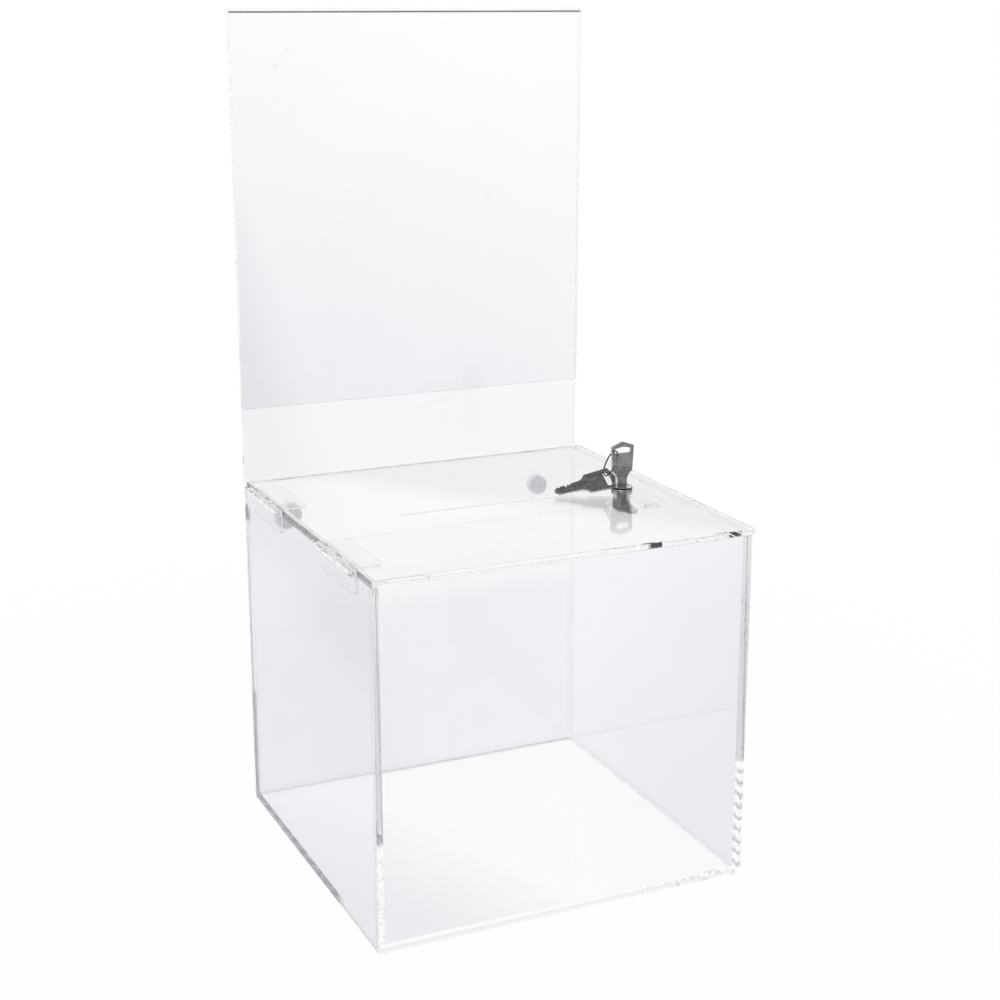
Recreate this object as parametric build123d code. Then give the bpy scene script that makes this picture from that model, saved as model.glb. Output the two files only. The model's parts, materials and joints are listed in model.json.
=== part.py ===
from build123d import *
from math import cos, radians, sin
import os

# A clear acrylic ballot box: five cemented panels, a hinged lid with a ballot slot and a cam lock,
# a folded sign header behind the back wall, and two keys on a wire ring.
# Millimetres, +X right, +Y back, +Z up, origin at the middle of the floor's underside.

# Box
box_width = 254.0
box_depth = 246.0
box_height = 236.0
wall_sheet = 5.0
lid_sheet = 4.0
header_sheet = 2.0
lid_overhang = 2.0
edge_break = 0.4

# Clearances and the overrun shared by all cuts
moving_gap = 0.3
running_fit = 0.05
lid_clearance = 0.6
overrun = 1.0

# Ballot slot in the lid
slot_length = 124.0
slot_width = 5.5
slot_corner = 1.2

# Sign header: a sheet folded over at the top, with its short leaf in front
header_top = 550.0
short_leaf_bottom = 286.0
fold_gap = 2.0
fold_mouth = 0.3

# Two-part screws that hold the header to the back wall
screw_inset = 32.0
screw_drop = 30.0
screw_head_radius = 6.6
screw_head_height = 1.8
screw_head_chamfer = 0.7
post_radius = 2.5
post_bore = 1.5

# Clear leaf hinges on the left edge
hinge_length = 60.0
hinge_end_inset = 24.0
knuckle_count = 5
knuckle_radius = 2.7
hinge_pin_radius = 1.2
hinge_pin_proud = 0.4
leaf_thickness = 1.2
lid_leaf_width = 17.0
wall_leaf_height = 15.0
leaf_corner = 5.0

# Cam lock near the lid's right edge
lock_inset = 27.7
flange_radius = 7.35
flange_height = 1.6
flange_chamfer = 0.4
barrel_radius = 6.0
barrel_flat = 5.3
barrel_reach = 13.6
plug_head_radius = 4.8
plug_head_height = 1.0
plug_recess = 0.3
plug_radius = 4.0
post_half = 2.5
stop_thickness = 1.0
stop_angle = 90.0
lock_travel = 90.0
stop_play = 1.5
cam_thickness = 2.0
cam_hub_radius = 6.0
cam_nose_radius = 4.0
cam_reach = 18.5
cam_washer_radius = 5.3
cam_washer_thickness = 0.8
cam_screw_radius = 1.5
cam_screw_head_radius = 3.4
cam_screw_head_height = 2.0
cam_screw_chamfer = 0.6
cross_width = 0.9
cross_length = 3.6
cross_depth = 0.9
lock_nut_flats = 14.0
lock_nut_height = 2.5
lock_nut_chamfer = 0.6

# Clear strike cemented to the right wall, which the cam turns under
strike_length = 40.0
strike_depth = 14.0
strike_sheet = 4.0
strike_corner = 5.0
strike_gap = 0.5

# Flat keys: heights are above the seat that stops the key at the plug's face
key_thickness = 1.6
key_fit = 0.1
blade_width = 6.2
blade_length = 13.4
blade_point = 2.2
neck_width = 7.0
neck_height = 10.1
neck_straight = 2.5
shoulder_width = 14.8
shoulder_bend_share = 1 / 3
bow_width = 16.8
bow_side = 17.5
bow_peak = 3.0
bow_corner = 0.9
key_slot_length = 11.8
key_slot_side = 3.2
key_slot_peak = 1.1
key_slot_rim = 3.5
key_slot_corner = 0.8
bit_pitch = 2.4
bit_flat = 0.8
bit_depth_full = 1.7
bit_depth_shares = (0.5, 1.0, 0.35, 0.75)
groove_width = 1.5
groove_depth = 0.35

# Wire ring through both bows, and the angles in degrees at which the ring and the spare key lie
ring_radius = 9.0
wire_radius = 0.55
wire_sides = 6
ring_lean = 27.0
ring_twist = 11.5
spare_hold_x = 3.2
spare_rise = 8.7
spare_swing = -5.5
spare_roll = 36.0

# Places worked out from the sizes above
right = box_width / 2
back = box_depth / 2
wall_top = box_height - lid_sheet - moving_gap
inner_width = box_width - 2 * wall_sheet
inner_depth = box_depth - 2 * wall_sheet
lid_back = back - fold_gap - header_sheet - lid_clearance
lid_middle = (lid_back - back) / 2
lock_x = right - lock_inset
hinge_middle = back - hinge_end_inset - hinge_length / 2
axis_x = -(right + moving_gap + knuckle_radius)
axis_z = box_height + leaf_thickness - knuckle_radius
plug_face = box_height + flange_height - plug_recess
plug_seat = plug_face - plug_head_height
barrel_bottom = box_height - barrel_reach
cam_top = barrel_bottom - stop_thickness
cam_bottom = cam_top - cam_thickness
key_seat = plug_face + moving_gap
keyway_bottom = key_seat - blade_length - moving_gap
shoulder_height = neck_height
corner_height = shoulder_height + bow_side
peak_height = corner_height + bow_peak
slot_top_middle = peak_height - key_slot_rim
slot_top_side = slot_top_middle - key_slot_peak
slot_bottom = slot_top_side - key_slot_side
ring_hold_x = key_slot_length / 2 - wire_radius - 2 * moving_gap
ring_hold_z = slot_bottom + key_slot_side / 2


def panel(low, high):
    """A flat sheet between two corner points."""
    size = [top - bottom for bottom, top in zip(low, high)]
    middle = [(top + bottom) / 2 for bottom, top in zip(low, high)]
    return Pos(*middle) * Box(*size)


def edges_along(shape, axis):
    """The straight edges of a shape that run along one axis."""
    return shape.edges().filter_by(axis)


def rod(radius, low, high):
    """An upright cylinder at the lock's axis or the origin, between two heights."""
    return Pos(0, 0, (low + high) / 2) * Cylinder(radius, high - low)


def at_lock(shape):
    """A shape built about the Z axis, moved to the lock's axis."""
    return Pos(lock_x, lid_middle, 0) * shape


def floor_panel():
    low = (-inner_width / 2, -inner_depth / 2, 0)
    return panel(low, (inner_width / 2, inner_depth / 2, wall_sheet))


def front_wall():
    return panel((-right, -back, 0), (right, wall_sheet - back, wall_top))


def back_wall():
    sheet = panel((-right, back - wall_sheet, 0), (right, back, wall_top))
    return sheet - screw_holes()


def left_wall():
    return panel((-right, -inner_depth / 2, 0), (wall_sheet - right, inner_depth / 2, wall_top))


def right_wall():
    return panel((right - wall_sheet, -inner_depth / 2, 0), (right, inner_depth / 2, wall_top))


def lid():
    sheet = panel((-right, -back, box_height - lid_sheet), (right + lid_overhang, lid_back, box_height))
    sheet = chamfer(sheet.edges(), edge_break)
    slot = Rectangle(slot_length, slot_width)
    slot = fillet(slot.vertices(), slot_corner)
    slot = extrude(Pos(0, lid_middle, box_height - lid_sheet - overrun) * slot, lid_sheet + 2 * overrun)
    hole = at_lock(double_d(barrel_radius + running_fit, barrel_flat + running_fit,
                            box_height - lid_sheet - overrun, box_height + overrun))
    return sheet - slot - hole


def sign_header():
    """The header's section in the YZ plane, drawn once and extruded over the box's width."""
    inner = fold_gap / 2
    outer = inner + header_sheet
    bend_y = back - inner
    bend_z = header_top - outer
    with BuildSketch(Plane.YZ) as section:
        with BuildLine():
            Polyline((back, bend_z), (back, 0), (back + header_sheet, 0), (back + header_sheet, bend_z))
            ThreePointArc((back + header_sheet, bend_z), (bend_y, header_top), (bend_y - outer, bend_z))
            Polyline((bend_y - outer, bend_z), (back - fold_mouth - header_sheet, short_leaf_bottom),
                     (back - fold_mouth, short_leaf_bottom), (bend_y - inner, bend_z))
            ThreePointArc((bend_y - inner, bend_z), (bend_y, bend_z + inner), (back, bend_z))
        make_face()
    sheet = extrude(section.sketch, box_width / 2, both=True)
    return sheet - screw_holes()


def screw_places():
    """Points on the back wall's outer face, one for each header screw."""
    height = box_height - screw_drop
    return [(side * (right - screw_inset), back, height) for side in (-1, 1)]


def screw_holes():
    hole = Rot(90, 0, 0) * Cylinder(post_radius + running_fit, 2 * (wall_sheet + header_sheet))
    return [Pos(*place) * hole for place in screw_places()]


def header_posts():
    """Flanged sleeves that pass through the header and the back wall from behind."""
    length = header_sheet + wall_sheet
    head = Pos(0, 0, -screw_head_height / 2) * Cylinder(screw_head_radius, screw_head_height)
    head = chamfer(head.edges().group_by(Axis.Z)[0], screw_head_chamfer)
    sleeve = rod(post_radius, 0, length) - rod(post_bore + running_fit, overrun, length + overrun)
    post = Pos(0, header_sheet, 0) * (Rot(90, 0, 0) * (head + sleeve))
    return Compound(children=[Pos(*place) * post for place in screw_places()])


def header_screws():
    """Cross-headed screws that enter the posts from inside the box."""
    length = header_sheet + wall_sheet - 2 * overrun
    head = rod(screw_head_radius, 0, screw_head_height)
    head = chamfer(head.edges().group_by(Axis.Z)[-1], screw_head_chamfer)
    cross = Box(cross_length, cross_width, 2 * cross_depth) + Box(cross_width, cross_length, 2 * cross_depth)
    head = head - Pos(0, 0, screw_head_height) * cross
    screw = Pos(0, -wall_sheet, 0) * (Rot(90, 0, 0) * (head + rod(post_bore, -length, 0)))
    return Compound(children=[Pos(*place) * screw for place in screw_places()])


def hinge_stretches(first):
    """The middle and length of every second knuckle, from the one numbered first."""
    pitch = hinge_length / knuckle_count
    stretches = []
    for number in range(first, knuckle_count, 2):
        low = -hinge_length / 2 + number * pitch
        high = low + pitch
        low += moving_gap / 2 if number > 0 else 0
        high -= moving_gap / 2 if number < knuckle_count - 1 else 0
        stretches.append(((low + high) / 2, high - low))
    return stretches


def hinge_tube(radius, middle, length):
    """A cylinder along the hinge axis."""
    return Pos(axis_x, middle, axis_z) * (Rot(90, 0, 0) * Cylinder(radius, length))


def hinge_bore(radius):
    return hinge_tube(radius, 0, hinge_length + 2 * overrun)


def hinge_wall_leaf():
    """The leaf on the left wall's outside, with the outer and middle knuckles."""
    plate_top = axis_z - knuckle_radius - moving_gap
    half = hinge_length / 2
    leaf = panel((-right - leaf_thickness, -half, axis_z - wall_leaf_height), (-right, half, plate_top))
    leaf = fillet(edges_along(leaf, Axis.X).group_by(Axis.Z)[0], leaf_corner)
    for middle, length in hinge_stretches(0):
        web = panel((-right - leaf_thickness, middle - length / 2, plate_top),
                    (axis_x + knuckle_radius, middle + length / 2, axis_z))
        leaf = leaf + web + hinge_tube(knuckle_radius, middle, length)
    return leaf - hinge_bore(hinge_pin_radius)


def hinge_lid_leaf():
    """The leaf on the lid's top, with the knuckles between those of the wall leaf."""
    half = hinge_length / 2
    top = box_height + leaf_thickness
    leaf = panel((-right, -half, box_height), (lid_leaf_width - right, half, top))
    leaf = fillet(edges_along(leaf, Axis.Z).group_by(Axis.X)[-1], leaf_corner)
    for middle, length in hinge_stretches(1):
        web = panel((axis_x, middle - length / 2, box_height), (-right, middle + length / 2, top))
        leaf = leaf + web + hinge_tube(knuckle_radius, middle, length)
    return leaf - hinge_bore(hinge_pin_radius + running_fit)


def hinge_pin():
    pin = hinge_tube(hinge_pin_radius, 0, hinge_length + 2 * hinge_pin_proud)
    return chamfer(pin.edges().filter_by(GeomType.CIRCLE), hinge_pin_proud)


def double_d(radius, flat, low, high):
    """An upright rod with two flats that face front and back."""
    return rod(radius, low, high) & Pos(0, 0, (low + high) / 2) * Box(2 * radius, 2 * flat, high - low)


def ring_sector(inner, outer, start, sweep, low, high):
    """A stretch of an upright ring, from one angle over another, both in degrees."""
    end = start + sweep
    near = [(inner * cos(radians(angle)), inner * sin(radians(angle))) for angle in (start, end)]
    far = [(outer * cos(radians(angle)), outer * sin(radians(angle))) for angle in (start, end)]
    with BuildSketch(Plane.XY.offset(low)) as section:
        with BuildLine():
            CenterArc((0, 0), inner, start, sweep)
            Line(near[1], far[1])
            CenterArc((0, 0), outer, start, sweep)
            Line(far[0], near[0])
        make_face()
    return extrude(section.sketch, high - low)


def square_hole(low, high):
    """The cutter for a hole that fits over the plug's square end."""
    side = 2 * (post_half + running_fit)
    return Pos(0, 0, (low + high) / 2) * Box(side, side, high - low)


def lock_housing():
    """Flanged barrel with two flats, a bore for the plug and a stop boss under its rim."""
    flange = rod(flange_radius, box_height, box_height + flange_height)
    flange = chamfer(flange.edges().group_by(Axis.Z)[-1], flange_chamfer)
    body = flange + double_d(barrel_radius, barrel_flat, barrel_bottom, box_height)
    body = body - rod(plug_head_radius + running_fit, plug_seat, plug_face + overrun)
    body = body - rod(plug_radius + running_fit, barrel_bottom - overrun, plug_seat)
    boss = ring_sector(plug_radius + moving_gap, barrel_flat, 90, stop_angle,
                       cam_top + moving_gap, barrel_bottom)
    return at_lock(body + boss)


def lock_nut():
    top = box_height - lid_sheet
    low = top - lock_nut_height
    hexagon = extrude(Pos(0, 0, low) * RegularPolygon(lock_nut_flats / 2, 6, major_radius=False),
                      lock_nut_height)
    blank = rod(lock_nut_flats / 2 / cos(radians(30)), low, top)
    blank = chamfer(blank.edges().group_by(Axis.Z)[0], lock_nut_chamfer)
    return at_lock((hexagon & blank) - rod(barrel_radius + running_fit, low - overrun, top + overrun))


def lock_plug():
    """Headed plug with a keyway from above and a square end that is tapped for the cam screw."""
    head_low = plug_seat + running_fit
    plug = rod(plug_head_radius, head_low, plug_face)
    plug = plug + rod(plug_radius, barrel_bottom - moving_gap, head_low)
    square = 2 * post_half
    post_low = cam_bottom + running_fit
    post_high = barrel_bottom - moving_gap
    plug = plug + Pos(0, 0, (post_low + post_high) / 2) * Box(square, square, post_high - post_low)
    keyway_height = plug_face + overrun - keyway_bottom
    keyway = Box(blade_width + 2 * key_fit, key_thickness + 2 * key_fit, keyway_height)
    plug = plug - Pos(0, 0, keyway_bottom + keyway_height / 2) * keyway
    return at_lock(plug - rod(cam_screw_radius, cam_bottom - overrun, keyway_bottom - moving_gap))


def stop_washer():
    """Washer on the square end, whose wide lug meets the housing's boss at each end of the turn."""
    low = cam_top
    high = barrel_bottom - moving_gap
    lug_sweep = 360 - stop_angle - lock_travel - 2 * stop_play
    lug_start = 90 + stop_angle + stop_play
    body = rod(plug_radius, low, high)
    body = body + ring_sector(plug_radius - moving_gap, barrel_flat, lug_start, lug_sweep, low, high)
    return at_lock(body - square_hole(low - overrun, high + overrun))


def lock_cam():
    """Flat cam that points to the front when the lock is open."""
    nose = Pos(0, cam_nose_radius - cam_reach) * Circle(cam_nose_radius)
    outline = make_hull((Circle(cam_hub_radius) + nose).edges())
    plate = extrude(Pos(0, 0, cam_bottom) * outline, cam_thickness)
    plate = chamfer(plate.edges().group_by(Axis.Z)[0], edge_break)
    return at_lock(plate - square_hole(cam_bottom - overrun, cam_top + overrun))


def cam_washer():
    low = cam_bottom - cam_washer_thickness
    hole = rod(cam_screw_radius + key_fit, low - overrun, cam_bottom + overrun)
    return at_lock(rod(cam_washer_radius, low, cam_bottom) - hole)


def cam_screw():
    head_top = cam_bottom - cam_washer_thickness
    head_low = head_top - cam_screw_head_height
    head = rod(cam_screw_head_radius, head_low, head_top)
    head = chamfer(head.edges().group_by(Axis.Z)[0], cam_screw_chamfer)
    cross = Box(cross_length, cross_width, 2 * cross_depth) + Box(cross_width, cross_length, 2 * cross_depth)
    head = head - Pos(0, 0, head_low) * cross
    return at_lock(head + rod(cam_screw_radius, head_top, keyway_bottom - 2 * moving_gap))


def lock_strike():
    low = cam_top + strike_gap
    inner = right - wall_sheet
    half = strike_length / 2
    tab = panel((inner - strike_depth, lid_middle - half, low), (inner, lid_middle + half, low + strike_sheet))
    return fillet(edges_along(tab, Axis.Z).group_by(Axis.X)[0], strike_corner)


def blade_outline():
    """Points down the key's cut edge, round the tip and up its plain edge."""
    half = blade_width / 2
    points = [(half, 0)]
    for number, share in enumerate(bit_depth_shares):
        middle = -(number + 1) * bit_pitch
        depth = share * bit_depth_full
        slope = (bit_pitch - bit_flat) / 2
        points.append((half, middle + slope + bit_flat / 2))
        points.append((half - depth, middle + bit_flat / 2))
        points.append((half - depth, middle - bit_flat / 2))
    last = points[-1][1] - (bit_pitch - bit_flat) / 2
    points.append((half - groove_depth, last))
    points.append((half - blade_point, -blade_length))
    points.append((blade_point - half, -blade_length))
    points.append((-half, blade_point - blade_length))
    points.append((-half, 0))
    return points


def key_outline():
    """The flat key's outline with its seat at height zero, drawn with the height along Y."""
    neck = neck_width / 2
    shoulder = shoulder_width / 2
    bow = bow_width / 2
    half_slot = key_slot_length / 2
    bend_x = neck + (shoulder - neck) * shoulder_bend_share
    bend_y = neck_straight + (shoulder_height - neck_straight) * (1 - shoulder_bend_share)
    with BuildSketch() as blank:
        with BuildLine():
            Line((neck, 0), (neck, neck_straight))
            ThreePointArc((neck, neck_straight), (bend_x, bend_y), (shoulder, shoulder_height))
            Polyline((shoulder, shoulder_height), (bow, corner_height), (0, peak_height),
                     (-bow, corner_height), (-shoulder, shoulder_height))
            ThreePointArc((-shoulder, shoulder_height), (-bend_x, bend_y), (-neck, neck_straight))
            Polyline((-neck, neck_straight), (-neck, 0), (neck, 0))
        make_face()
        fillet(blank.vertices().group_by(Axis.Y)[-2], bow_corner)
    slot = Polygon((-half_slot, slot_bottom), (half_slot, slot_bottom), (half_slot, slot_top_side),
                   (0, slot_top_middle), (-half_slot, slot_top_side), align=None)
    slot = fillet(slot.vertices(), key_slot_corner)
    return blank.sketch + Polygon(*blade_outline(), align=None) - slot


def key():
    """A flat key in the XZ plane, with a groove along one side of each blade face."""
    body = extrude(Plane.XZ * key_outline(), key_thickness / 2, both=True)
    groove_height = blade_length + neck_straight
    groove = Box(groove_width, 2 * groove_depth, groove_height)
    for side in (-1, 1):
        place = Pos(-groove_width, side * key_thickness / 2, neck_straight - groove_height / 2)
        body = body - place * groove
    return body


def key_in_lock():
    return at_lock(Pos(0, 0, key_seat) * key())


def ring_hold():
    """The middle of the wire where the ring passes through the bow of the key in the lock."""
    return Vector(lock_x - ring_hold_x, lid_middle, key_seat + ring_hold_z)


def ring_down():
    """The direction from that place to the ring's centre."""
    return Vector(-sin(radians(ring_lean)), 0, -cos(radians(ring_lean)))


def spare_hold():
    """The lowest place of the wire, where the spare key hangs."""
    return ring_hold() + ring_down() * (2 * ring_radius)


def key_ring():
    down = ring_down()
    across = Vector(0, 1, 0).rotate(Axis((0, 0, 0), down), ring_twist)
    plane = Plane(ring_hold() + down * ring_radius, x_dir=down, z_dir=down.cross(across))
    section = Plane.XZ * (Pos(ring_radius, 0) * RegularPolygon(wire_radius, wire_sides))
    return plane * revolve(section, Axis.Z)


def spare_key():
    """The spare key, hung by its slot on the ring and leaning with its tip just over the lid."""
    rise = radians(spare_rise)
    swing = radians(spare_swing)
    roll = radians(spare_roll)
    along = Vector(cos(rise) * cos(swing), cos(rise) * sin(swing), sin(rise))
    level = Vector(-sin(swing), cos(swing), 0)
    width = level * cos(roll) + along.cross(level) * sin(roll)
    plane = Plane(spare_hold(), x_dir=width, z_dir=along)
    return plane * (Pos(-spare_hold_x, 0, -ring_hold_z) * key())


def main():
    os.makedirs("parts", exist_ok=True)
    nodes = {
        "floor_panel": floor_panel(),
        "front_wall": front_wall(),
        "back_wall": back_wall(),
        "left_wall": left_wall(),
        "right_wall": right_wall(),
        "lid": lid(),
        "sign_header": sign_header(),
        "header_posts": header_posts(),
        "header_screws": header_screws(),
        "lock_housing": lock_housing(),
        "lock_nut": lock_nut(),
        "lock_plug": lock_plug(),
        "stop_washer": stop_washer(),
        "lock_cam": lock_cam(),
        "cam_washer": cam_washer(),
        "cam_screw": cam_screw(),
        "lock_strike": lock_strike(),
        "key_in_lock": key_in_lock(),
        "key_ring": key_ring(),
        "spare_key": spare_key(),
    }
    for name, middle in (("rear", hinge_middle), ("front", -hinge_middle)):
        nodes[name + "_hinge_wall_leaf"] = Pos(0, middle, 0) * hinge_wall_leaf()
        nodes[name + "_hinge_lid_leaf"] = Pos(0, middle, 0) * hinge_lid_leaf()
        nodes[name + "_hinge_pin"] = Pos(0, middle, 0) * hinge_pin()
    for name, shape in nodes.items():
        export_step(shape, "parts/" + name + ".step")


main()
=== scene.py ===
import json
import random
from math import cos, pi, radians, sin, tau

import bmesh
import bpy
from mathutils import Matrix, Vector

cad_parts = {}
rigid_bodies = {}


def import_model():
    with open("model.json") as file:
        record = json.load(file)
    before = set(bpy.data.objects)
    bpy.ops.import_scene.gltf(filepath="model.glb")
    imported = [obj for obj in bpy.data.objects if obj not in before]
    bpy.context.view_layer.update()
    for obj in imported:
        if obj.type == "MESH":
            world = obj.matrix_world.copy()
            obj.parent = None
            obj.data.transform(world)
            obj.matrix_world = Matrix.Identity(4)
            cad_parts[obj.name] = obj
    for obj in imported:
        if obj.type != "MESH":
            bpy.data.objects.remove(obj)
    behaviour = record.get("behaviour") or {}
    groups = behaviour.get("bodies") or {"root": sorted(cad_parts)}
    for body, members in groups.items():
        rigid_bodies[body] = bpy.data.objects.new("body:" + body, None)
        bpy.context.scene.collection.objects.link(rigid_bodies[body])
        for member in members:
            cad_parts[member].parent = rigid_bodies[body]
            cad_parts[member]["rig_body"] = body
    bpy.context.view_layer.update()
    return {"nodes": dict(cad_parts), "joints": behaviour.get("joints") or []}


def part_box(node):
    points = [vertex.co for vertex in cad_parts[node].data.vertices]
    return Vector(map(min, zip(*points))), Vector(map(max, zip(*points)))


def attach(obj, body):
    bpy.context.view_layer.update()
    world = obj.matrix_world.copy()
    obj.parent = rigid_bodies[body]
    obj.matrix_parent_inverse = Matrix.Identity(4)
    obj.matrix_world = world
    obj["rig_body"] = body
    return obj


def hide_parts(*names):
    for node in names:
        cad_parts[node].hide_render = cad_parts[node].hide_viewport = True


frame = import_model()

# Clear acrylic ballot box: metres, +X right, +Y back, +Z up, in the frame of the CAD model.
MM = 0.001

# Cemented faces reach this far into each other, and faces that only touch stay this far apart
WELD = 0.03 * MM
AIR = 0.03 * MM
EDGE_BREAK = 0.35 * MM

# Sign header, seen in its YZ section
HEADER_SHEET = 2.0 * MM
FOLD_GAP = 2.0 * MM
FOLD_MOUTH = 0.3 * MM
SHORT_LEAF_BOTTOM = 286.0 * MM
BEND_STEPS = 16
HEADER_RIM = 0.2 * MM

# Small parts
KEY_BEVEL = 0.16 * MM
LOCK_BEVEL = 0.12 * MM
HINGE_BEVEL = 0.3 * MM
WIRE_RADIUS = 0.55 * MM
RING_STEPS = 96
WIRE_SIDES = 12
PIN_SHRINK = 0.96

# Voids in the cement of the back joint, between two shares of the wall's height
VOID_COUNT = 22
VOID_LOW = 0.42
VOID_HIGH = 0.58
VOID_MARGIN = 0.08
VOID_REACH = (0.3, 0.9)
VOID_THICKNESS = 0.02 * MM
VOID_CORNERS = (3, 3, 4, 6)
VOID_SEED = 6

# Meshes taken over from the CAD model
MERGE = 0.001 * MM
COPLANAR = radians(1)
SMOOTH = radians(30)
BEVEL_FROM = radians(35)
HEADER_BEVEL_FROM = radians(60)
VOID_SMOOTH = radians(60)

# How squarely a face of a sheet looks along an axis
SQUARE = 0.95
SLANTED = 0.05
ON_SIDE = 0.1 * MM

# Camera at the photograph's angle
FOCAL_PIXELS = 1803.0
FRAME_PIXELS = 1000.0
SENSOR = 36.0
CAMERA_SHIFT = -0.02
CAMERA_PLACE = Vector((-0.4682, -1.0384, 0.5545))
CAMERA_YAW = radians(24.71)
CAMERA_PITCH = radians(14.88)

# Stage, sky and lamps
FLOOR_DROP = 0.3 * MM
FLOOR_HALF = 20.0
FLOOR_SHARE = 0.95
FLOOR_NEAR = 0.25
FLOOR_FAR = 0.9
FLOOR_COLOUR = (0.92, 0.92, 0.92, 1)
SKY_LOW, SKY_HIGH = 0.45, 0.95
SKY_ROUND, SKY_OVERHEAD = 1.0, 0.35
LAMP_AIM = (0, 0, 0.2)

# Light led through the sheets meets their faces up to a hundred times
BOUNCES = 256
TRANSPARENT_BOUNCES = 64

# Shading: spans are the part of a noise over which a look changes
TREE_INPUT = "ShaderNodeTexCoord"
ACRYLIC_IOR = 1.49
FIXING_IOR = 1.46
SHEET_SHADOW = 0.97
EDGE_SHADOW = 0.95
MILKY_SHADOW = 0.8
WHITE = (1.0, 1.0, 1.0)
WIDE_SPAN = (0.3, 0.7)
DUST = 0.3
DUST_SIZE, DUST_SPAN = 1.1 * MM, (0.80, 0.86)
DUST_AREA, DUST_AREA_SPAN = 60 * MM, (0.45, 0.65)
HAIR_SIZE, HAIR_SPAN, HAIR_STRETCH = 0.9 * MM, (0.68, 0.74), (1, 0.03, 0.35)
HAIR_DEPTH = 0.004 * MM
HAZE_SIZE = 35 * MM
WAVE_SIZE = 45 * MM
CLOUD_SIZE, CLOUD_TINT = 80 * MM, 0.992
# Painted shade in dark specks on the header
SPOT_SHADE = (0.86, 0.86, 0.86)
EDGE_SPAN, EDGE_STRETCH = (0.42, 0.60), (1, 1, 0.6)
EDGE_GLOSS_SIZE = 4 * MM
MIRROR_SPAN = (0.2, 0.3)
CEMENT_WAVE_SIZE, CEMENT_WAVE = 3 * MM, 6 * MM
CEMENT_BORDER = MM
CEMENT_ROUGH = 0.2
LOZENGE_SPAN, LOZENGE_DRY = (0.30, 0.48), 0.45
LOZENGE_HOLE_SIZE, LOZENGE_HOLE_SPAN, LOZENGE_HOLE = 1.3 * MM, (0.30, 0.36), 0.6
SPECK_SPAN, SPECK = (0.56, 0.62), 0.72
# Dashes in the painted shade on the floor's left end
DASH_SIZE, DASH_SPAN, DASH = 5 * MM, (0.50, 0.58), 0.75
SAWN_SIZE, SAWN_TINT = 5 * MM, (0.97, 0.97, 0.975)
TARNISH_SPAN = (0.35, 0.65)
METAL_GLOSS_SIZE = 0.8 * MM
GRAIN_SIZE, GRAIN_DEPTH = 0.25 * MM, 0.006 * MM
THREAD_DEPTH = 0.35
# Painted shade, almost black, on the barrel where it stands in the lid
COLLAR_BORDER, COLLAR_SHADE = 0.1 * MM, (0.13, 0.13, 0.13)
MILK_SIZE, MILK_SHARE = 3 * MM, 0.8
MILK_GRAIN_SIZE, MILK_GRAIN_DEPTH = 0.6 * MM, 0.01 * MM


def add(tree, kind, settings=None, **sockets):
    """Adds a shader node. In socket names _ stands for a space, and in0 for a place in the list."""
    made = tree.nodes.new(kind)
    for name, value in (settings or {}).items():
        setattr(made, name, value)
    for name, value in sockets.items():
        is_place = name[:2] == "in" and name[2:].isdigit()
        socket = made.inputs[int(name[2:]) if is_place else name.replace("_", " ")]
        if isinstance(value, bpy.types.NodeSocket):
            tree.links.new(value, socket)
        else:
            socket.default_value = value
    return made


def new_material(name):
    material = bpy.data.materials.new(name)
    material.use_nodes = True
    material.node_tree.nodes.clear()
    return material, material.node_tree


def place_in(tree, stretch=(1, 1, 1)):
    """The object's own coordinates in metres, stretched."""
    coordinates = add(tree, TREE_INPUT)
    mapping = add(tree, "ShaderNodeMapping", Vector=coordinates.outputs["Object"], Scale=stretch)
    return mapping.outputs["Vector"]


def noise(tree, size, detail=2.0, stretch=(1, 1, 1)):
    """A noise value whose features are about size metres across."""
    made = add(tree, "ShaderNodeTexNoise", Vector=place_in(tree, stretch), Scale=1 / size,
               Detail=detail)
    return made.outputs["Fac"]


def mapped(tree, value, low, high, to_low, to_high):
    made = add(tree, "ShaderNodeMapRange", Value=value, From_Min=low, From_Max=high,
               To_Min=to_low, To_Max=to_high)
    return made.outputs["Result"]


def patchy(tree, size, span, to_low, to_high, detail=2.0, stretch=(1, 1, 1)):
    """Patches of about a size: to_low where the noise is below the span, to_high above it."""
    return mapped(tree, noise(tree, size, detail, stretch), *span, to_low, to_high)


def math(tree, operation, first, second):
    made = add(tree, "ShaderNodeMath", {"operation": operation}, in0=first, in1=second)
    return made.outputs[0]


def times(tree, first, second):
    return math(tree, "MULTIPLY", first, second)


def along(tree, axis):
    """The object's own coordinate along one axis, in metres."""
    return add(tree, "ShaderNodeSeparateXYZ", Vector=place_in(tree)).outputs[axis]


def towards(tree, direction):
    """The object's own coordinate along a direction, in metres."""
    made = add(tree, "ShaderNodeVectorMath", {"operation": "DOT_PRODUCT"}, in0=place_in(tree),
               in1=direction)
    return made.outputs["Value"]


def bumped(tree, height, distance, normal=None):
    made = add(tree, "ShaderNodeBump", Height=height, Distance=distance, Strength=1.0)
    if normal is not None:
        tree.links.new(normal, made.inputs["Normal"])
    return made.outputs["Normal"]


def mixed_colour(tree, share, first, second):
    made = add(tree, "ShaderNodeMix", {"data_type": "RGBA"})
    tree.links.new(share, made.inputs[0])
    made.inputs[6].default_value = (*first, 1)
    made.inputs[7].default_value = (*second, 1)
    return made.outputs[2]


def tinted(tree, colour, share, tint):
    """A colour output multiplied by a tint, as far as share says."""
    made = add(tree, "ShaderNodeMix", {"data_type": "RGBA", "blend_type": "MULTIPLY"})
    tree.links.new(share, made.inputs[0])
    tree.links.new(colour, made.inputs[6])
    made.inputs[7].default_value = (*tint, 1)
    return made.outputs[2]


def principled(tree, **sockets):
    return add(tree, "ShaderNodeBsdfPrincipled", **sockets)


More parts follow.
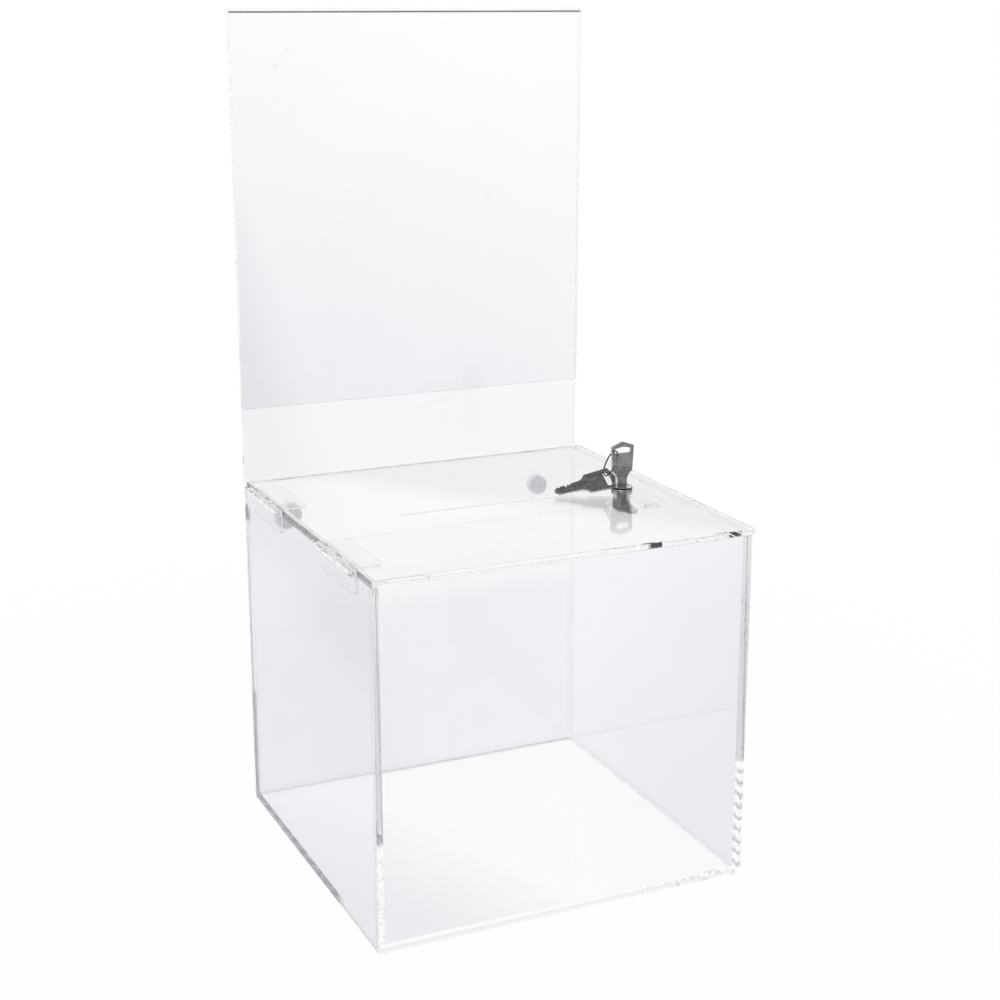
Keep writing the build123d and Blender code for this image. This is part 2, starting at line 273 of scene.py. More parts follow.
def finish_clear(tree, shader, shadow):
    """Lets lamps through clear plastic, so that it throws only a faint shadow."""
    light_path = add(tree, "ShaderNodeLightPath")
    through = add(tree, "ShaderNodeBsdfTransparent", Color=(shadow, shadow, shadow, 1))
    mix = add(tree, "ShaderNodeMixShader", in0=light_path.outputs["Is Shadow Ray"],
              in1=shader.outputs[0], in2=through.outputs[0])
    add(tree, "ShaderNodeOutputMaterial", Surface=mix.outputs[0])


def clear_material(name, tint, haze=0.02, wave=0.006, shade_fades=(), shade_spots=(), shine=1.0):
    """Polished clear acrylic with dust specks, hairline scratches and the waves of cast sheet.

    wave is the waves' height in mm. Each fade is painted shade, a tint that grows along a
    direction, between two places. Each spot is painted shade, a dark speck at a given place, and
    shine scales the reflection seen straight on.
    """
    material, tree = new_material(name)
    specks = patchy(tree, DUST_SIZE, DUST_SPAN, 0, 1, 0)
    dirt = times(tree, specks, patchy(tree, DUST_AREA, DUST_AREA_SPAN, 0, 1))
    hairs = patchy(tree, HAIR_SIZE, HAIR_SPAN, 0, 1, 3, HAIR_STRETCH)
    inside = add(tree, "ShaderNodeNewGeometry").outputs["Backfacing"]
    hazy = patchy(tree, HAZE_SIZE, WIDE_SPAN, haze / 2, haze, 4)
    rough = times(tree, hazy, math(tree, "SUBTRACT", 1.0, inside))
    ripple = bumped(tree, noise(tree, WAVE_SIZE, 1), wave * MM)
    scratched = bumped(tree, hairs, HAIR_DEPTH, ripple)
    clear = mapped(tree, dirt, 0, 1, 1, 1 - DUST)
    cloud = patchy(tree, CLOUD_SIZE, WIDE_SPAN, 0, 1)
    colour = mixed_colour(tree, cloud, tint, [CLOUD_TINT * part for part in tint])
    # Painted shade: each fade darkens the tint along its direction
    for direction, start, end, shade_tint in shade_fades:
        share = mapped(tree, towards(tree, direction), start, end, 0, 1)
        colour = tinted(tree, colour, share, shade_tint)
    # Painted shade: dark specks at given places
    for place, radius in shade_spots:
        apart = add(tree, "ShaderNodeVectorMath", {"operation": "DISTANCE"}, in0=place_in(tree),
                    in1=place)
        share = mapped(tree, apart.outputs["Value"], 0, radius, 1, 0)
        colour = tinted(tree, colour, share, SPOT_SHADE)
    shader = principled(tree, Base_Color=colour, Roughness=rough, IOR=ACRYLIC_IOR,
                        Transmission_Weight=clear, Normal=scratched,
                        Specular_Tint=(shine, shine, shine, 1))
    finish_clear(tree, shader, SHEET_SHADOW)
    return material


def edge_material(name, light, dark, patch=10 * MM, rough=0.0, mirror=False):
    """The cut edge of a clear sheet, flame-polished, with a tint that changes in patches.

    Grey and dark tints are painted shade, for the dark lines that clear edges show. With mirror it
    reflects in its tint what meets it at a slant, and lets through untinted what meets it squarely.
    """
    material, tree = new_material(name)
    patches = patchy(tree, patch, EDGE_SPAN, 0, 1, 3, EDGE_STRETCH)
    colour = mixed_colour(tree, patches, light, dark)
    gloss = patchy(tree, EDGE_GLOSS_SIZE, WIDE_SPAN, rough / 2, rough, 3)
    shader = principled(tree, Base_Color=colour, Roughness=gloss, IOR=ACRYLIC_IOR,
                        Transmission_Weight=1.0)
    if mirror:
        facing = add(tree, "ShaderNodeLayerWeight", Blend=0.5).outputs["Facing"]
        slanted = mapped(tree, facing, *MIRROR_SPAN, 0, 1)
        tree.links.new(slanted, shader.inputs["Metallic"])
        tint = add(tree, "ShaderNodeMix", {"data_type": "RGBA"})
        tint.inputs[6].default_value = (*WHITE, 1)
        tree.links.new(slanted, tint.inputs[0])
        tree.links.new(colour, tint.inputs[7])
        tree.links.new(tint.outputs[2], shader.inputs["Base Color"])
    finish_clear(tree, shader, EDGE_SHADOW)
    return material


def joint_material(name, grey, top, pitch=0.0, slant=0.0, speck=2.2 * MM, start=0.0, end=0.0):
    """A cemented joint: grey where it is dry, silvery white where the cement has flowed.

    With a top it is wet only below that height, and with an end also as far as it along X. With
    a pitch the cement stands in slanted lozenges, and otherwise it has small specks.
    """
    material, tree = new_material(name)
    place = along(tree, "Z")
    waves = math(tree, "SUBTRACT", noise(tree, CEMENT_WAVE_SIZE, 2), 0.5)
    uneven = times(tree, waves, CEMENT_WAVE)
    if pitch:
        leaning = math(tree, "ADD", math(tree, "ADD", place, uneven),
                       times(tree, along(tree, "X"), slant))
        step = math(tree, "PINGPONG", math(tree, "DIVIDE", leaning, pitch), 1.0)
        white = mapped(tree, step, *LOZENGE_SPAN, LOZENGE_DRY, 1)
        holes = patchy(tree, LOZENGE_HOLE_SIZE, LOZENGE_HOLE_SPAN, LOZENGE_HOLE, 1, 1)
        white = times(tree, white, holes)
    else:
        white = patchy(tree, speck, SPECK_SPAN, 1, SPECK, 2)
    if top:
        height = math(tree, "ADD", place, uneven)
        wet = mapped(tree, height, top - CEMENT_BORDER, top + CEMENT_BORDER, 1, 0)
        white = times(tree, white, wet)
    if end:
        reach = math(tree, "ADD", along(tree, "X"), uneven)
        white = math(tree, "MAXIMUM", white, mapped(tree, reach, start, end, 1, 0))
    colour = mixed_colour(tree, white, grey, WHITE)
    rough = times(tree, white, CEMENT_ROUGH)
    shader = principled(tree, Base_Color=colour, Roughness=rough, IOR=ACRYLIC_IOR, Metallic=white,
                        Transmission_Weight=1.0)
    finish_clear(tree, shader, EDGE_SHADOW)
    return material


def end_material(name, near, far, start, end):
    """The end of the floor sheet behind the left wall, which darkens towards the back.

    The darkening, with lighter dashes in it, is painted shade.
    """
    material, tree = new_material(name)
    share = mapped(tree, along(tree, "Y"), start, end, 0, 1)
    dashes = patchy(tree, DASH_SIZE, DASH_SPAN, 1, DASH, 2)
    colour = mixed_colour(tree, times(tree, share, dashes), near, far)
    silver = math(tree, "SUBTRACT", 1.0, share)
    rough = times(tree, silver, CEMENT_ROUGH)
    shader = principled(tree, Base_Color=colour, Roughness=rough, IOR=ACRYLIC_IOR,
                        Metallic=silver, Transmission_Weight=1.0)
    finish_clear(tree, shader, EDGE_SHADOW)
    return material


def cut_end_material(name, metallic, rough):
    """The white, finely sawn end of a sheet, silvery where the lid lies on it."""
    material, tree = new_material(name)
    uneven = patchy(tree, SAWN_SIZE, WIDE_SPAN, 0, 1, 3)
    colour = mixed_colour(tree, uneven, WHITE, SAWN_TINT)
    shader = principled(tree, Base_Color=colour, Roughness=rough, IOR=ACRYLIC_IOR,
                        Metallic=metallic)
    finish_clear(tree, shader, EDGE_SHADOW)
    return material


def metal_material(name, light, dark, gloss, brush=(1, 1, 1), wear=1.2 * MM, thread=0.0,
                   collar=None):
    """Plated metal with a brushed grain, cloudy tarnish and patches of gloss.

    It has threads where a pitch is given, and above the height of the collar it is almost black
    with painted shade.
    """
    material, tree = new_material(name)
    tarnish = patchy(tree, wear, TARNISH_SPAN, 0, 1, 5)
    colour = mixed_colour(tree, tarnish, light, dark)
    # Painted shade above the collar
    if collar is not None:
        above = mapped(tree, along(tree, "Z"), collar - COLLAR_BORDER, collar, 0, 1)
        colour = tinted(tree, colour, above, COLLAR_SHADE)
    rough = patchy(tree, METAL_GLOSS_SIZE, WIDE_SPAN, *gloss, 4)
    normal = bumped(tree, noise(tree, GRAIN_SIZE, 2, brush), GRAIN_DEPTH)
    if thread:
        turns = math(tree, "DIVIDE", along(tree, "Z"), thread / 2)
        crest = math(tree, "PINGPONG", turns, 1.0)
        normal = bumped(tree, crest, thread * THREAD_DEPTH, normal)
    shader = principled(tree, Base_Color=colour, Metallic=1.0, Roughness=rough, Normal=normal)
    add(tree, "ShaderNodeOutputMaterial", Surface=shader.outputs[0])
    return material


def milky_material(name, tint, through, rough):
    """Translucent plastic, and the skin of a void in the cement."""
    material, tree = new_material(name)
    uneven = patchy(tree, MILK_SIZE, WIDE_SPAN, through * MILK_SHARE, through, 3)
    grain = bumped(tree, noise(tree, MILK_GRAIN_SIZE, 2), MILK_GRAIN_DEPTH)
    shader = principled(tree, Base_Color=(*tint, 1), Roughness=rough, IOR=FIXING_IOR,
                        Transmission_Weight=uneven, Normal=grain)
    finish_clear(tree, shader, MILKY_SHADOW)
    return material


# Broad faces of the sheets: the side walls' darker tints and each fade below are painted shade
BACK_CLEAR = clear_material("acrylic_back", (0.995, 0.995, 0.995),
                            shade_fades=[((0, 0, -1), -0.165, -0.125, (0.898, 0.898, 0.935))])
LEFT_CLEAR = clear_material("acrylic_left", (0.914, 0.903, 0.945),
                            shade_fades=[((0, 0, 1), 0.155, 0.205, (0.91, 0.91, 0.915))])
RIGHT_CLEAR = clear_material("acrylic_right", (0.912, 0.915, 0.955),
                             shade_fades=[((0, -1, -1), -0.19, 0.02, (0.905, 0.895, 0.91))])
FRONT_CLEAR = clear_material("acrylic_front", (0.998, 0.998, 1.0))
FLOOR_CLEAR = clear_material("acrylic_floor", WHITE,
                             shade_fades=[((-1, -0.4, 0), 0.03, 0.13, (0.852, 0.855, 0.885))])
LID_CLEAR = clear_material("acrylic_lid", WHITE, haze=0.045, shine=0.7,
                           shade_fades=[((1, 0.8, 0), -0.01, 0.035, (0.89, 0.892, 0.89))])

# The header's fade and spot tints are painted shade. Its last fade takes the first one back in
# its single leaf, below the lid
HEADER_CLEAR = clear_material(
    "acrylic_header", WHITE, shine=0.4,
    shade_fades=[((-0.35, 0, -1), -0.56, -0.26, (0.93, 0.928, 0.95)),
           ((-1, 0, -0.3), -0.013, 0.023, (0.95, 0.95, 0.955)),
           ((0, 0, -1), -0.237, -0.227, (1.06, 1.062, 1.04))],
    shade_spots=[((0.0564, 0.120, 0.4231), 3 * MM), ((-0.0882, 0.120, 0.5246), 2.5 * MM),
           ((-0.0971, 0.120, 0.5130), 3 * MM)])
# Painted shade: the inside of the bend is near black
FOLD_SHADE = clear_material("acrylic_fold_painted_shade", (0.20, 0.20, 0.21))
HINGE_CLEAR = clear_material("hinge_plastic", (0.985, 0.985, 0.985), haze=0.10, wave=0.3)

# Cut edges of the sheets; their grey and dark tints are painted shade
EDGE = edge_material("acrylic_cut_edge", WHITE, (0.97, 0.97, 0.975))
EDGE_SHADE = edge_material("acrylic_edge_painted_shade", (0.14, 0.14, 0.145), (0.09, 0.09, 0.095))
EDGE_SOFT = edge_material("acrylic_edge_line", WHITE, (0.96, 0.96, 0.965), 25 * MM, 0.05)
EDGE_LINE_SHADE = edge_material("acrylic_edge_line_painted_shade", (0.20, 0.20, 0.205), (0.12, 0.12, 0.125),
                          25 * MM, 0.05)
LID_BACK = edge_material("acrylic_lid_back_edge", (0.66, 0.66, 0.67), (0.52, 0.52, 0.53),
                         mirror=True)
BACK_END = edge_material("acrylic_back_end", (0.52, 0.52, 0.53), (0.38, 0.38, 0.39))
FLOOR_BACK = edge_material("floor_back_end", (0.45, 0.45, 0.46), (0.35, 0.35, 0.36))
FLOOR_RIGHT = edge_material("floor_right_end", (0.95, 0.95, 0.95), (0.55, 0.55, 0.56), 4 * MM)
HINGE_EDGE = edge_material("hinge_plastic_edge", (0.93, 0.93, 0.94), (0.70, 0.70, 0.72), 6 * MM,
                           0.1)
RIGHT_TOP = cut_end_material("right_wall_top", 1.0, 0.2)
RIGHT_RIM = cut_end_material("right_wall_rim", 0.0, 0.5)

# Cemented joints
LEFT_JOINT = joint_material("joint_front_left", (0.74, 0.74, 0.75), 70 * MM)
RIGHT_JOINT = joint_material("joint_front_right", (0.66, 0.66, 0.67), 79 * MM, 4.1 * MM, 1.0)
FLOOR_JOINT = joint_material("joint_floor_front", (0.45, 0.45, 0.46), 0.0, speck=3.0 * MM,
                             start=45 * MM, end=110 * MM)
# Painted shade: the floor's left end darkens towards the back
FLOOR_LEFT_END = end_material("floor_left_end", WHITE, (0.30, 0.30, 0.31), -52 * MM, -46 * MM)

# Metal: the barrel is dark with painted shade under the flange, where it stands in the lid
BARREL = {"thread": 1.0 * MM, "collar": 232.5 * MM}
STEEL = metal_material("hinge_pin_steel", (0.92, 0.92, 0.93), (0.75, 0.75, 0.77), (0.18, 0.35))
LOCK_NICKEL = metal_material("lock_nickel", (0.62, 0.61, 0.60), (0.40, 0.40, 0.39), (0.06, 0.18))
# Painted shade: darker copies of the lock's nickel for its sides and flats
LOCK_SHADED = metal_material("lock_nickel_painted_shade", (0.42, 0.41, 0.40), (0.22, 0.22, 0.21),
                           (0.20, 0.35), **BARREL)
LOCK_DEEP_SHADE = metal_material("lock_flat_dull_painted_shade", (0.30, 0.29, 0.28), (0.15, 0.145, 0.14),
                           (0.35, 0.5), **BARREL)
LOCK_STEEL = metal_material("lock_steel", (0.55, 0.55, 0.54), (0.38, 0.38, 0.38), (0.20, 0.38))
KEY_NICKEL = metal_material("key_nickel", (0.27, 0.27, 0.265), (0.18, 0.18, 0.175),
                            (0.22, 0.34), (1, 1, 0.04), 6 * MM)
SPARE_NICKEL = metal_material("spare_key_nickel", (0.42, 0.42, 0.41), (0.21, 0.21, 0.20),
                              (0.18, 0.32), (1, 0.05, 1), 4 * MM)
# Painted highlight: the keys' rims are lighter than their faces
KEY_RIM_HIGHLIGHT = metal_material("key_rim_painted_highlight", (0.60, 0.60, 0.58), (0.34, 0.34, 0.33), (0.15, 0.30))
WIRE = metal_material("ring_wire", (0.22, 0.22, 0.21), (0.06, 0.055, 0.055), (0.15, 0.30),
                      wear=5 * MM)

# Translucent pieces
SCREW_PLASTIC = milky_material("screw_plastic", (0.86, 0.86, 0.90), 0.85, 0.25)
# Painted shade on the rims of the header's posts and screws
SCREW_RIM_SHADE = milky_material("screw_plastic_rim_painted_shade", (0.62, 0.62, 0.68), 0.80, 0.25)
BUBBLE = milky_material("cement_bubbles", (0.50, 0.50, 0.52), 0.75, 0.25)


def body_of(node):
    return frame["nodes"][node]["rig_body"]


def show(name, mesh, node, materials):
    """Makes an object of a mesh, riding on the body of a node."""
    for material in materials:
        mesh.materials.append(material)
    piece = bpy.data.objects.new(name, mesh)
    bpy.context.scene.collection.objects.link(piece)
    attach(piece, body_of(node))
    return piece


def mesh_from(bm, name, smooth_angle=SMOOTH):
    bmesh.ops.recalc_face_normals(bm, faces=bm.faces)
    mesh = bpy.data.meshes.new(name)
    bm.to_mesh(mesh)
    bm.free()
    mesh.shade_smooth()
    mesh.set_sharp_from_angle(angle=smooth_angle)
    return mesh


def add_bevel(piece, width, segments=2, material=-1, angle=BEVEL_FROM):
    bevel = piece.modifiers.new("edge_break", "BEVEL")
    bevel.width = width
    bevel.segments = segments
    bevel.limit_method = "ANGLE"
    bevel.angle_limit = angle
    bevel.material = material
    bevel.harden_normals = True


def side_of(face):
    """The axis along which a face mostly looks, and that side's name, such as "+x"."""
    axis = max(range(3), key=lambda i: abs(face.normal[i]))
    return axis, ("+" if face.normal[axis] > 0 else "-") + "xyz"[axis]


def sort_sheet_faces(bm, thin_axis, sides, low, high):
    """Slot 0 for the broad faces, 1 for narrow breaks, 2 for cut edges, from 3 the outer sides."""
    for face in bm.faces:
        across = abs(face.normal[thin_axis])
        axis, side = side_of(face)
        if across > SQUARE:
            face.material_index = 0
        elif abs(face.normal[axis]) < SQUARE and across > SLANTED:
            face.material_index = 1
        else:
            face.material_index = 2
            limit = (high if side[0] == "+" else low)[axis]
            if side in sides and abs(face.calc_center_median()[axis] - limit) < ON_SIDE:
                face.material_index = 3 + sides.index(side)


def wall_sheet(name, node, thin_axis, welded, mitred, clear, rim, ends=None):
    """A flat sheet with broken free edges, though not at its welded and its mitred sides.

    Welded sides, such as "+x", reach into what they are cemented to. ends gives the material of
    single edges, by side.
    """
    low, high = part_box(node)
    for side in welded.split():
        axis = "xyz".index(side[1])
        if side[0] == "+":
            high[axis] += WELD
        else:
            low[axis] -= WELD
    bm = bmesh.new()
    bmesh.ops.create_cube(bm, size=1)
    for vertex in bm.verts:
        vertex.co = Vector([low[i] if vertex.co[i] < 0 else high[i] for i in range(3)])
    bm.normal_update()
    held = set((welded + " " + mitred).split())
    free = [edge for edge in bm.edges
            if all(side_of(face)[1] not in held for face in edge.link_faces)]
    bmesh.ops.bevel(bm, geom=free, offset=EDGE_BREAK, segments=1, affect="EDGES", profile=0.5)
    bm.normal_update()
    ends = ends or {}
    sort_sheet_faces(bm, thin_axis, list(ends), low, high)
    piece = show(name, mesh_from(bm, name), node,
                 [clear, rim, EDGE, *ends.values()])
    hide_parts(node)


def copied(name, node, materials, move=None, bevel=0.0, bevel_slot=-1, thin_axis=None,
           sides=(), paint=None):
    """A node's solid taken over with softer edges, its contact faces moved by a hair by move.

    paint gives the material slot of a face from its middle and its normal.
    """
    bm = bmesh.new()
    bm.from_mesh(frame["nodes"][node].data)
    bmesh.ops.remove_doubles(bm, verts=bm.verts, dist=MERGE)
    bmesh.ops.dissolve_limit(bm, angle_limit=COPLANAR, verts=bm.verts, edges=bm.edges)
    for face in bm.faces:
        face.material_index = 0
    if move is not None:
        for vertex in bm.verts:
            vertex.co = move(vertex.co)
    bm.normal_update()
    if thin_axis is not None:
        sort_sheet_faces(bm, thin_axis, sides, *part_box(node))
    if paint is not None:
        for face in bm.faces:
            face.material_index = paint(face.calc_center_median(), face.normal)
    mesh = mesh_from(bm, name)
    for attribute in [a for a in mesh.attributes if a.name == "custom_normal"]:
        mesh.attributes.remove(attribute)
    piece = show(name, mesh, node, materials)
    if bevel:
        add_bevel(piece, bevel, material=bevel_slot)
    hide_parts(node)


def shifted(axis, level, by):
    """A move for copied: what lies at a level of an axis goes along it by a little."""
    def move(place):
        moved = place.copy()
        if abs(place[axis] - level) < WELD:
            moved[axis] += by
        return moved
    return move


def case_sheets():
    # Painted shade: the back wall's dark rim and left end, and the floor's left, back and right
    # ends
    wall_sheet("front_wall_sheet", "front_wall", 1, "", "+y", FRONT_CLEAR, EDGE_SOFT)
    wall_sheet("back_wall_sheet", "back_wall", 1, "", "-y", BACK_CLEAR, EDGE_LINE_SHADE,
               {"-x": BACK_END})
    wall_sheet("left_wall_sheet", "left_wall", 0, "+y -y", "", LEFT_CLEAR, EDGE_SOFT,
               {"-y": LEFT_JOINT})
    wall_sheet("right_wall_sheet", "right_wall", 0, "+y -y", "", RIGHT_CLEAR, RIGHT_RIM,
               {"-y": RIGHT_JOINT, "+z": RIGHT_TOP})
    wall_sheet("floor_sheet", "floor_panel", 2, "+x -x +y -y", "", FLOOR_CLEAR, EDGE_SOFT,
               {"-y": FLOOR_JOINT, "-x": FLOOR_LEFT_END, "+y": FLOOR_BACK, "+x": FLOOR_RIGHT})


def lid_sheet():
    low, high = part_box("lid")
    middle = (low.z + high.z) / 2
    share = 1 - 2 * AIR / (high.z - low.z)

    def thinner(place):
        return Vector((place.x, place.y, middle + (place.z - middle) * share))
    # Painted shade on the lid's left and back edges
    copied("lid_sheet", "lid", [LID_CLEAR, EDGE_SOFT, EDGE, EDGE_SHADE, LID_BACK],
           thinner, thin_axis=2, sides=["-x", "+y"])


def header_section():
    """The outer and the inner face of the folded sheet, from the long leaf's foot, and its ends."""
    low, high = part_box("sign_header")
    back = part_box("back_wall")[1].y
    inner = FOLD_GAP / 2
    outer = inner + HEADER_SHEET
    bend_y = back - inner
    bend_z = high.z - outer
    outside = [(back + HEADER_SHEET - AIR, low.z)]
    inside = [(back + AIR, low.z)]
    for step in range(BEND_STEPS + 1):
        turn = pi * step / BEND_STEPS
        outside.append((bend_y + (outer - AIR) * cos(turn), bend_z + outer * sin(turn)))
        inside.append((bend_y + (inner + AIR) * cos(turn), bend_z + inner * sin(turn)))
    outside.append((back - FOLD_MOUTH - HEADER_SHEET, SHORT_LEAF_BOTTOM))
    inside.append((back - FOLD_MOUTH, SHORT_LEAF_BOTTOM))
    return outside, inside, low.x, high.x


def sign_header():
    """The folded sheet. Its slots are 0 its faces, 1 its edges, 2 their breaks, 3 in the fold.

    The inside of the bend is near black, painted shade.
    """
    outside, inside, left, right = header_section()
    bm = bmesh.new()
    rings = []
    for x in (left, right):
        rings.append([[bm.verts.new((x, y, z)) for y, z in path] for path in (outside, inside)])
    first, second = rings
    steps = len(outside) - 1
    for i in range(steps):
        for path in (0, 1):
            face = bm.faces.new((first[path][i], first[path][i + 1],
                                 second[path][i + 1], second[path][i]))
            face.material_index = 3 if path == 1 and 0 < i < steps - 1 else 0
        for outer, inner in rings:
            face = bm.faces.new((outer[i], outer[i + 1], inner[i + 1], inner[i]))
            face.material_index = 1
    for i in (0, steps):
        face = bm.faces.new((first[0][i], second[0][i], second[1][i], first[1][i]))
        face.material_index = 1
    piece = show("sign_header_sheet", mesh_from(bm, "sign_header_sheet"), "sign_header",
                 [HEADER_CLEAR, EDGE, EDGE_SOFT, FOLD_SHADE])
    add_bevel(piece, HEADER_RIM, 1, 2, HEADER_BEVEL_FROM)
    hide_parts("sign_header")


def hinges():
    """The two hinges, whose leaves are cemented to the lid and the left wall."""
    plastic = [HINGE_CLEAR, HINGE_EDGE]
    into_lid = shifted(2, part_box("lid")[1].z, -2 * WELD)
    into_wall = shifted(0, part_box("left_wall")[0].x, WELD)
    for side in ("rear", "front"):
        copied(side + "_hinge_lid_plate", side + "_hinge_lid_leaf", plastic,
               into_lid, HINGE_BEVEL, 1)
        copied(side + "_hinge_wall_plate", side + "_hinge_wall_leaf", plastic,
               into_wall, HINGE_BEVEL, 1)
        low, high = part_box(side + "_hinge_pin")
        middle = (low + high) / 2

        def thinner(place, middle=middle):
            return Vector((middle.x + (place.x - middle.x) * PIN_SHRINK, place.y,
                           middle.z + (place.z - middle.z) * PIN_SHRINK))
        copied(side + "_hinge_rod", side + "_hinge_pin", [STEEL], thinner)


def lock():
    lid_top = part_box("lid")[1].z

    def housing_slot(middle, normal):
        """0 on the flange's top, 1 on its rim and the round barrel, 2 on the barrel's flats.

        Slots 1 and 2 are darker copies of the nickel, painted shade.
        """
        if middle.z > lid_top - ON_SIDE:
            return 0 if normal.z > 0.3 else 1
        return 2 if abs(normal.y) > 0.99 else 1

    # Painted shade: the cam's sides take the darkest nickel
    def cam_slot(middle, normal):
        return 0 if abs(normal.z) > 0.9 else 1
    copied("lock_flange_and_barrel", "lock_housing",
           [LOCK_NICKEL, LOCK_SHADED, LOCK_DEEP_SHADE], bevel=LOCK_BEVEL, paint=housing_slot)
    copied("lock_plug_turned", "lock_plug", [LOCK_NICKEL], bevel=LOCK_BEVEL)
    copied("lock_nut_faced", "lock_nut", [LOCK_SHADED], bevel=LOCK_BEVEL)
    copied("lock_cam_plate", "lock_cam", [LOCK_STEEL, LOCK_DEEP_SHADE], paint=cam_slot)
    for node in ("stop_washer", "cam_washer", "cam_screw"):
        frame["nodes"][node].data.materials[0] = LOCK_STEEL
    into_wall = shifted(0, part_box("right_wall")[0].x, WELD)
    copied("strike_tab", "lock_strike", [FLOOR_CLEAR, EDGE_SOFT, EDGE],
           into_wall, thin_axis=2)


def keys():
    """Both keys: the brushed broad faces are slot 0, and the rim and its rounding are slot 1.

    The rim is lighter, a painted highlight.
    """
    spare_faces = frame["nodes"]["spare_key"].data.polygons
    spare_side = max(spare_faces, key=lambda face: face.area).normal.copy()
    for name, node, plated, across in (
            ("lock_key_blank", "key_in_lock", KEY_NICKEL, Vector((0, 1, 0))),
            ("spare_key_blank", "spare_key", SPARE_NICKEL, spare_side)):

        def rim_slot(middle, normal, across=across):
            return 0 if abs(normal.dot(across)) > 0.8 else 1
        copied(name, node, [plated, KEY_RIM_HIGHLIGHT], bevel=KEY_BEVEL, bevel_slot=1,
               paint=rim_slot)


def key_ring():
    """The wire ring through both bows, laid from the places where the two keys hang."""
    joints = {joint["name"]: joint for joint in frame["joints"]}
    hold = Vector(joints["ring_swing"]["pos_m"])
    low_end = Vector(joints["spare_swing"]["pos_m"])
    down = (low_end - hold).normalized()
    across = Vector(joints["spare_swing"]["axis"]).normalized()
    centre = (hold + low_end) / 2
    radius = (low_end - hold).length / 2
    normal = down.cross(across)
    bm = bmesh.new()
    rings = []
    for i in range(RING_STEPS):
        turn = tau * i / RING_STEPS
        outward = down * cos(turn) + across * sin(turn)
        ring = []
        for k in range(WIRE_SIDES):
            angle = tau * k / WIRE_SIDES
            ring.append(bm.verts.new(centre + outward * (radius + WIRE_RADIUS * cos(angle))
                                     + normal * WIRE_RADIUS * sin(angle)))
        rings.append(ring)
    for i, ring in enumerate(rings):
        after = rings[(i + 1) % RING_STEPS]
        for k in range(WIRE_SIDES):
            m = (k + 1) % WIRE_SIDES
            bm.faces.new((ring[k], ring[m], after[m], after[k]))
    piece = show("key_ring_wire", mesh_from(bm, "key_ring_wire"), "key_ring", [WIRE])
    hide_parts("key_ring")


def header_fixings():
    """The header's plastic posts and screws, whose rims look darker than their flat faces.

    The rims' darker tint is painted shade.
    """
    for name, node in (("header_posts_plastic", "header_posts"),
                       ("header_screws_plastic", "header_screws")):
        copied(name, node, [SCREW_PLASTIC, SCREW_RIM_SHADE], bevel=LOCK_BEVEL,
               paint=lambda middle, normal: 0 if abs(normal.y) > 0.9 else 1)


def cement():
    """Small flat voids high in the right end of the back joint, where the photograph has them."""
    low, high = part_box("back_wall")
    sheet = high.y - low.y
    corner = Vector((high.x - sheet, low.y, 0))
    side, up = Vector((1, 0, 0)), Vector((0, 0, 1))
    across = side.cross(up) * VOID_THICKNESS
    smallest, largest = VOID_REACH
    chance = random.Random(VOID_SEED)
    bm = bmesh.new()
    for _ in range(VOID_COUNT):
        share = VOID_LOW + (VOID_HIGH - VOID_LOW) * chance.random()
        over = VOID_MARGIN + (1 - 2 * VOID_MARGIN) * chance.random()
        middle = corner + side * sheet * over + up * high.z * share
        reach = (smallest + (largest - smallest) * chance.random() ** 2) * MM
        corners = chance.choice(VOID_CORNERS)
        turn = chance.random() * tau
        rim = []
        for k in range(corners):
            angle = turn + tau * k / corners
            arm = reach * (0.7 + 0.5 * chance.random())
            rim.append(bm.verts.new(middle + side * cos(angle) * arm + up * sin(angle) * arm))
        tips = [bm.verts.new(middle + across), bm.verts.new(middle - across)]
        for k in range(corners):
            for tip in tips:
                bm.faces.new((rim[k], rim[(k + 1) % corners], tip))
    show("cement_back_right", mesh_from(bm, "cement_back_right", VOID_SMOOTH), "back_wall",
         [BUBBLE])


def stage():
    """A plain white floor that keeps the object's shadow."""
    bm = bmesh.new()
    bm.faces.new([bm.verts.new((x * FLOOR_HALF, y * FLOOR_HALF, -FLOOR_DROP))
                  for x, y in ((-1, -1), (1, -1), (1, 1), (-1, 1))])
    mesh = bpy.data.meshes.new("studio_floor")
    bm.to_mesh(mesh)
    bm.free()
    floor = bpy.data.objects.new("studio_floor", mesh)
    bpy.context.scene.collection.objects.link(floor)
    material, tree = new_material("studio_floor_white")
    path = add(tree, "ShaderNodeLightPath")
    sum_up_to_one = {"operation": "ADD", "use_clamp": True}
    seen = add(tree, "ShaderNodeMath", sum_up_to_one,
               in0=path.outputs["Is Camera Ray"], in1=path.outputs["Is Glossy Ray"])
    seen = add(tree, "ShaderNodeMath", sum_up_to_one,
               in0=seen.outputs[0], in1=path.outputs["Is Transmission Ray"])
    away = add(tree, "ShaderNodeVectorMath", {"operation": "LENGTH"}, in0=place_in(tree))
    white_share = mapped(tree, away.outputs["Value"], FLOOR_NEAR, FLOOR_FAR, FLOOR_SHARE, 1)
    share = times(tree, seen.outputs[0], white_share)
    plain = add(tree, "ShaderNodeBsdfDiffuse", Color=FLOOR_COLOUR)
    white = add(tree, "ShaderNodeEmission", Color=(*WHITE, 1), Strength=1.0)
    mix = add(tree, "ShaderNodeMixShader", in0=share, in1=plain.outputs[0], in2=white.outputs[0])
    add(tree, "ShaderNodeOutputMaterial", Surface=mix.outputs[0])
    mesh.materials.append(material)


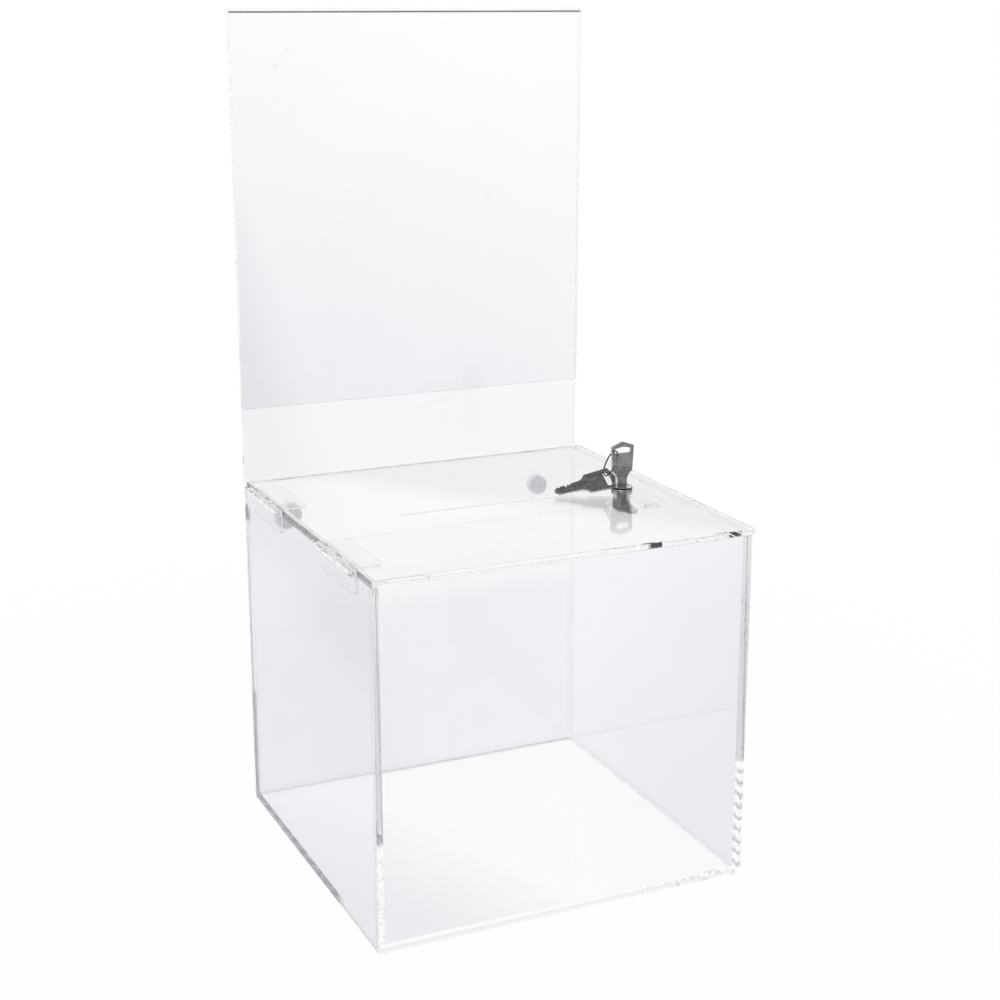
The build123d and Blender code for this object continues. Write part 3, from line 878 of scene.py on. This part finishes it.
def world():
    """White round the horizon and a softer grey overhead, as in a studio tent."""
    made = bpy.data.worlds.new("studio")
    bpy.context.scene.world = made
    made.use_nodes = True
    tree = made.node_tree
    tree.nodes.clear()
    coordinates = add(tree, TREE_INPUT)
    split = add(tree, "ShaderNodeSeparateXYZ", Vector=coordinates.outputs["Generated"])
    level = mapped(tree, split.outputs["Z"], SKY_LOW, SKY_HIGH, SKY_ROUND, SKY_OVERHEAD)
    light = add(tree, "ShaderNodeBackground", Color=(*WHITE, 1), Strength=level)
    add(tree, "ShaderNodeOutputWorld", Surface=light.outputs[0])


def lamp(name, place, width, power):
    light = bpy.data.lights.new(name, "AREA")
    light.shape = "SQUARE"
    light.size = width
    light.energy = power
    made = bpy.data.objects.new(name, light)
    made.location = place
    made.rotation_euler = (Vector(LAMP_AIM) - Vector(place)).to_track_quat("-Z", "Y").to_euler()
    bpy.context.scene.collection.objects.link(made)


def lamps():
    lamp("softbox_left", (-1.3, -0.9, 1.3), 0.9, 9)
    lamp("softbox_right", (1.5, -0.3, 1.0), 0.7, 5)


def camera():
    data = bpy.data.cameras.new("camera")
    data.sensor_width = SENSOR
    data.lens = FOCAL_PIXELS * SENSOR / FRAME_PIXELS
    data.shift_y = CAMERA_SHIFT
    made = bpy.data.objects.new("camera", data)
    bpy.context.scene.collection.objects.link(made)
    level = cos(CAMERA_PITCH)
    ahead = Vector((sin(CAMERA_YAW) * level, cos(CAMERA_YAW) * level, -sin(CAMERA_PITCH)))
    made.location = CAMERA_PLACE
    made.rotation_euler = ahead.to_track_quat("-Z", "Y").to_euler()
    bpy.context.scene.camera = made


for part in (camera, world, lamps, stage, case_sheets, lid_sheet, sign_header, hinges, lock, keys,
             key_ring, header_fixings, cement):
    part()

scene = bpy.context.scene
scene.view_settings.view_transform = "Standard"
scene.cycles.max_bounces = BOUNCES
scene.cycles.transmission_bounces = BOUNCES
scene.cycles.glossy_bounces = BOUNCES
scene.cycles.transparent_max_bounces = TRANSPARENT_BOUNCES
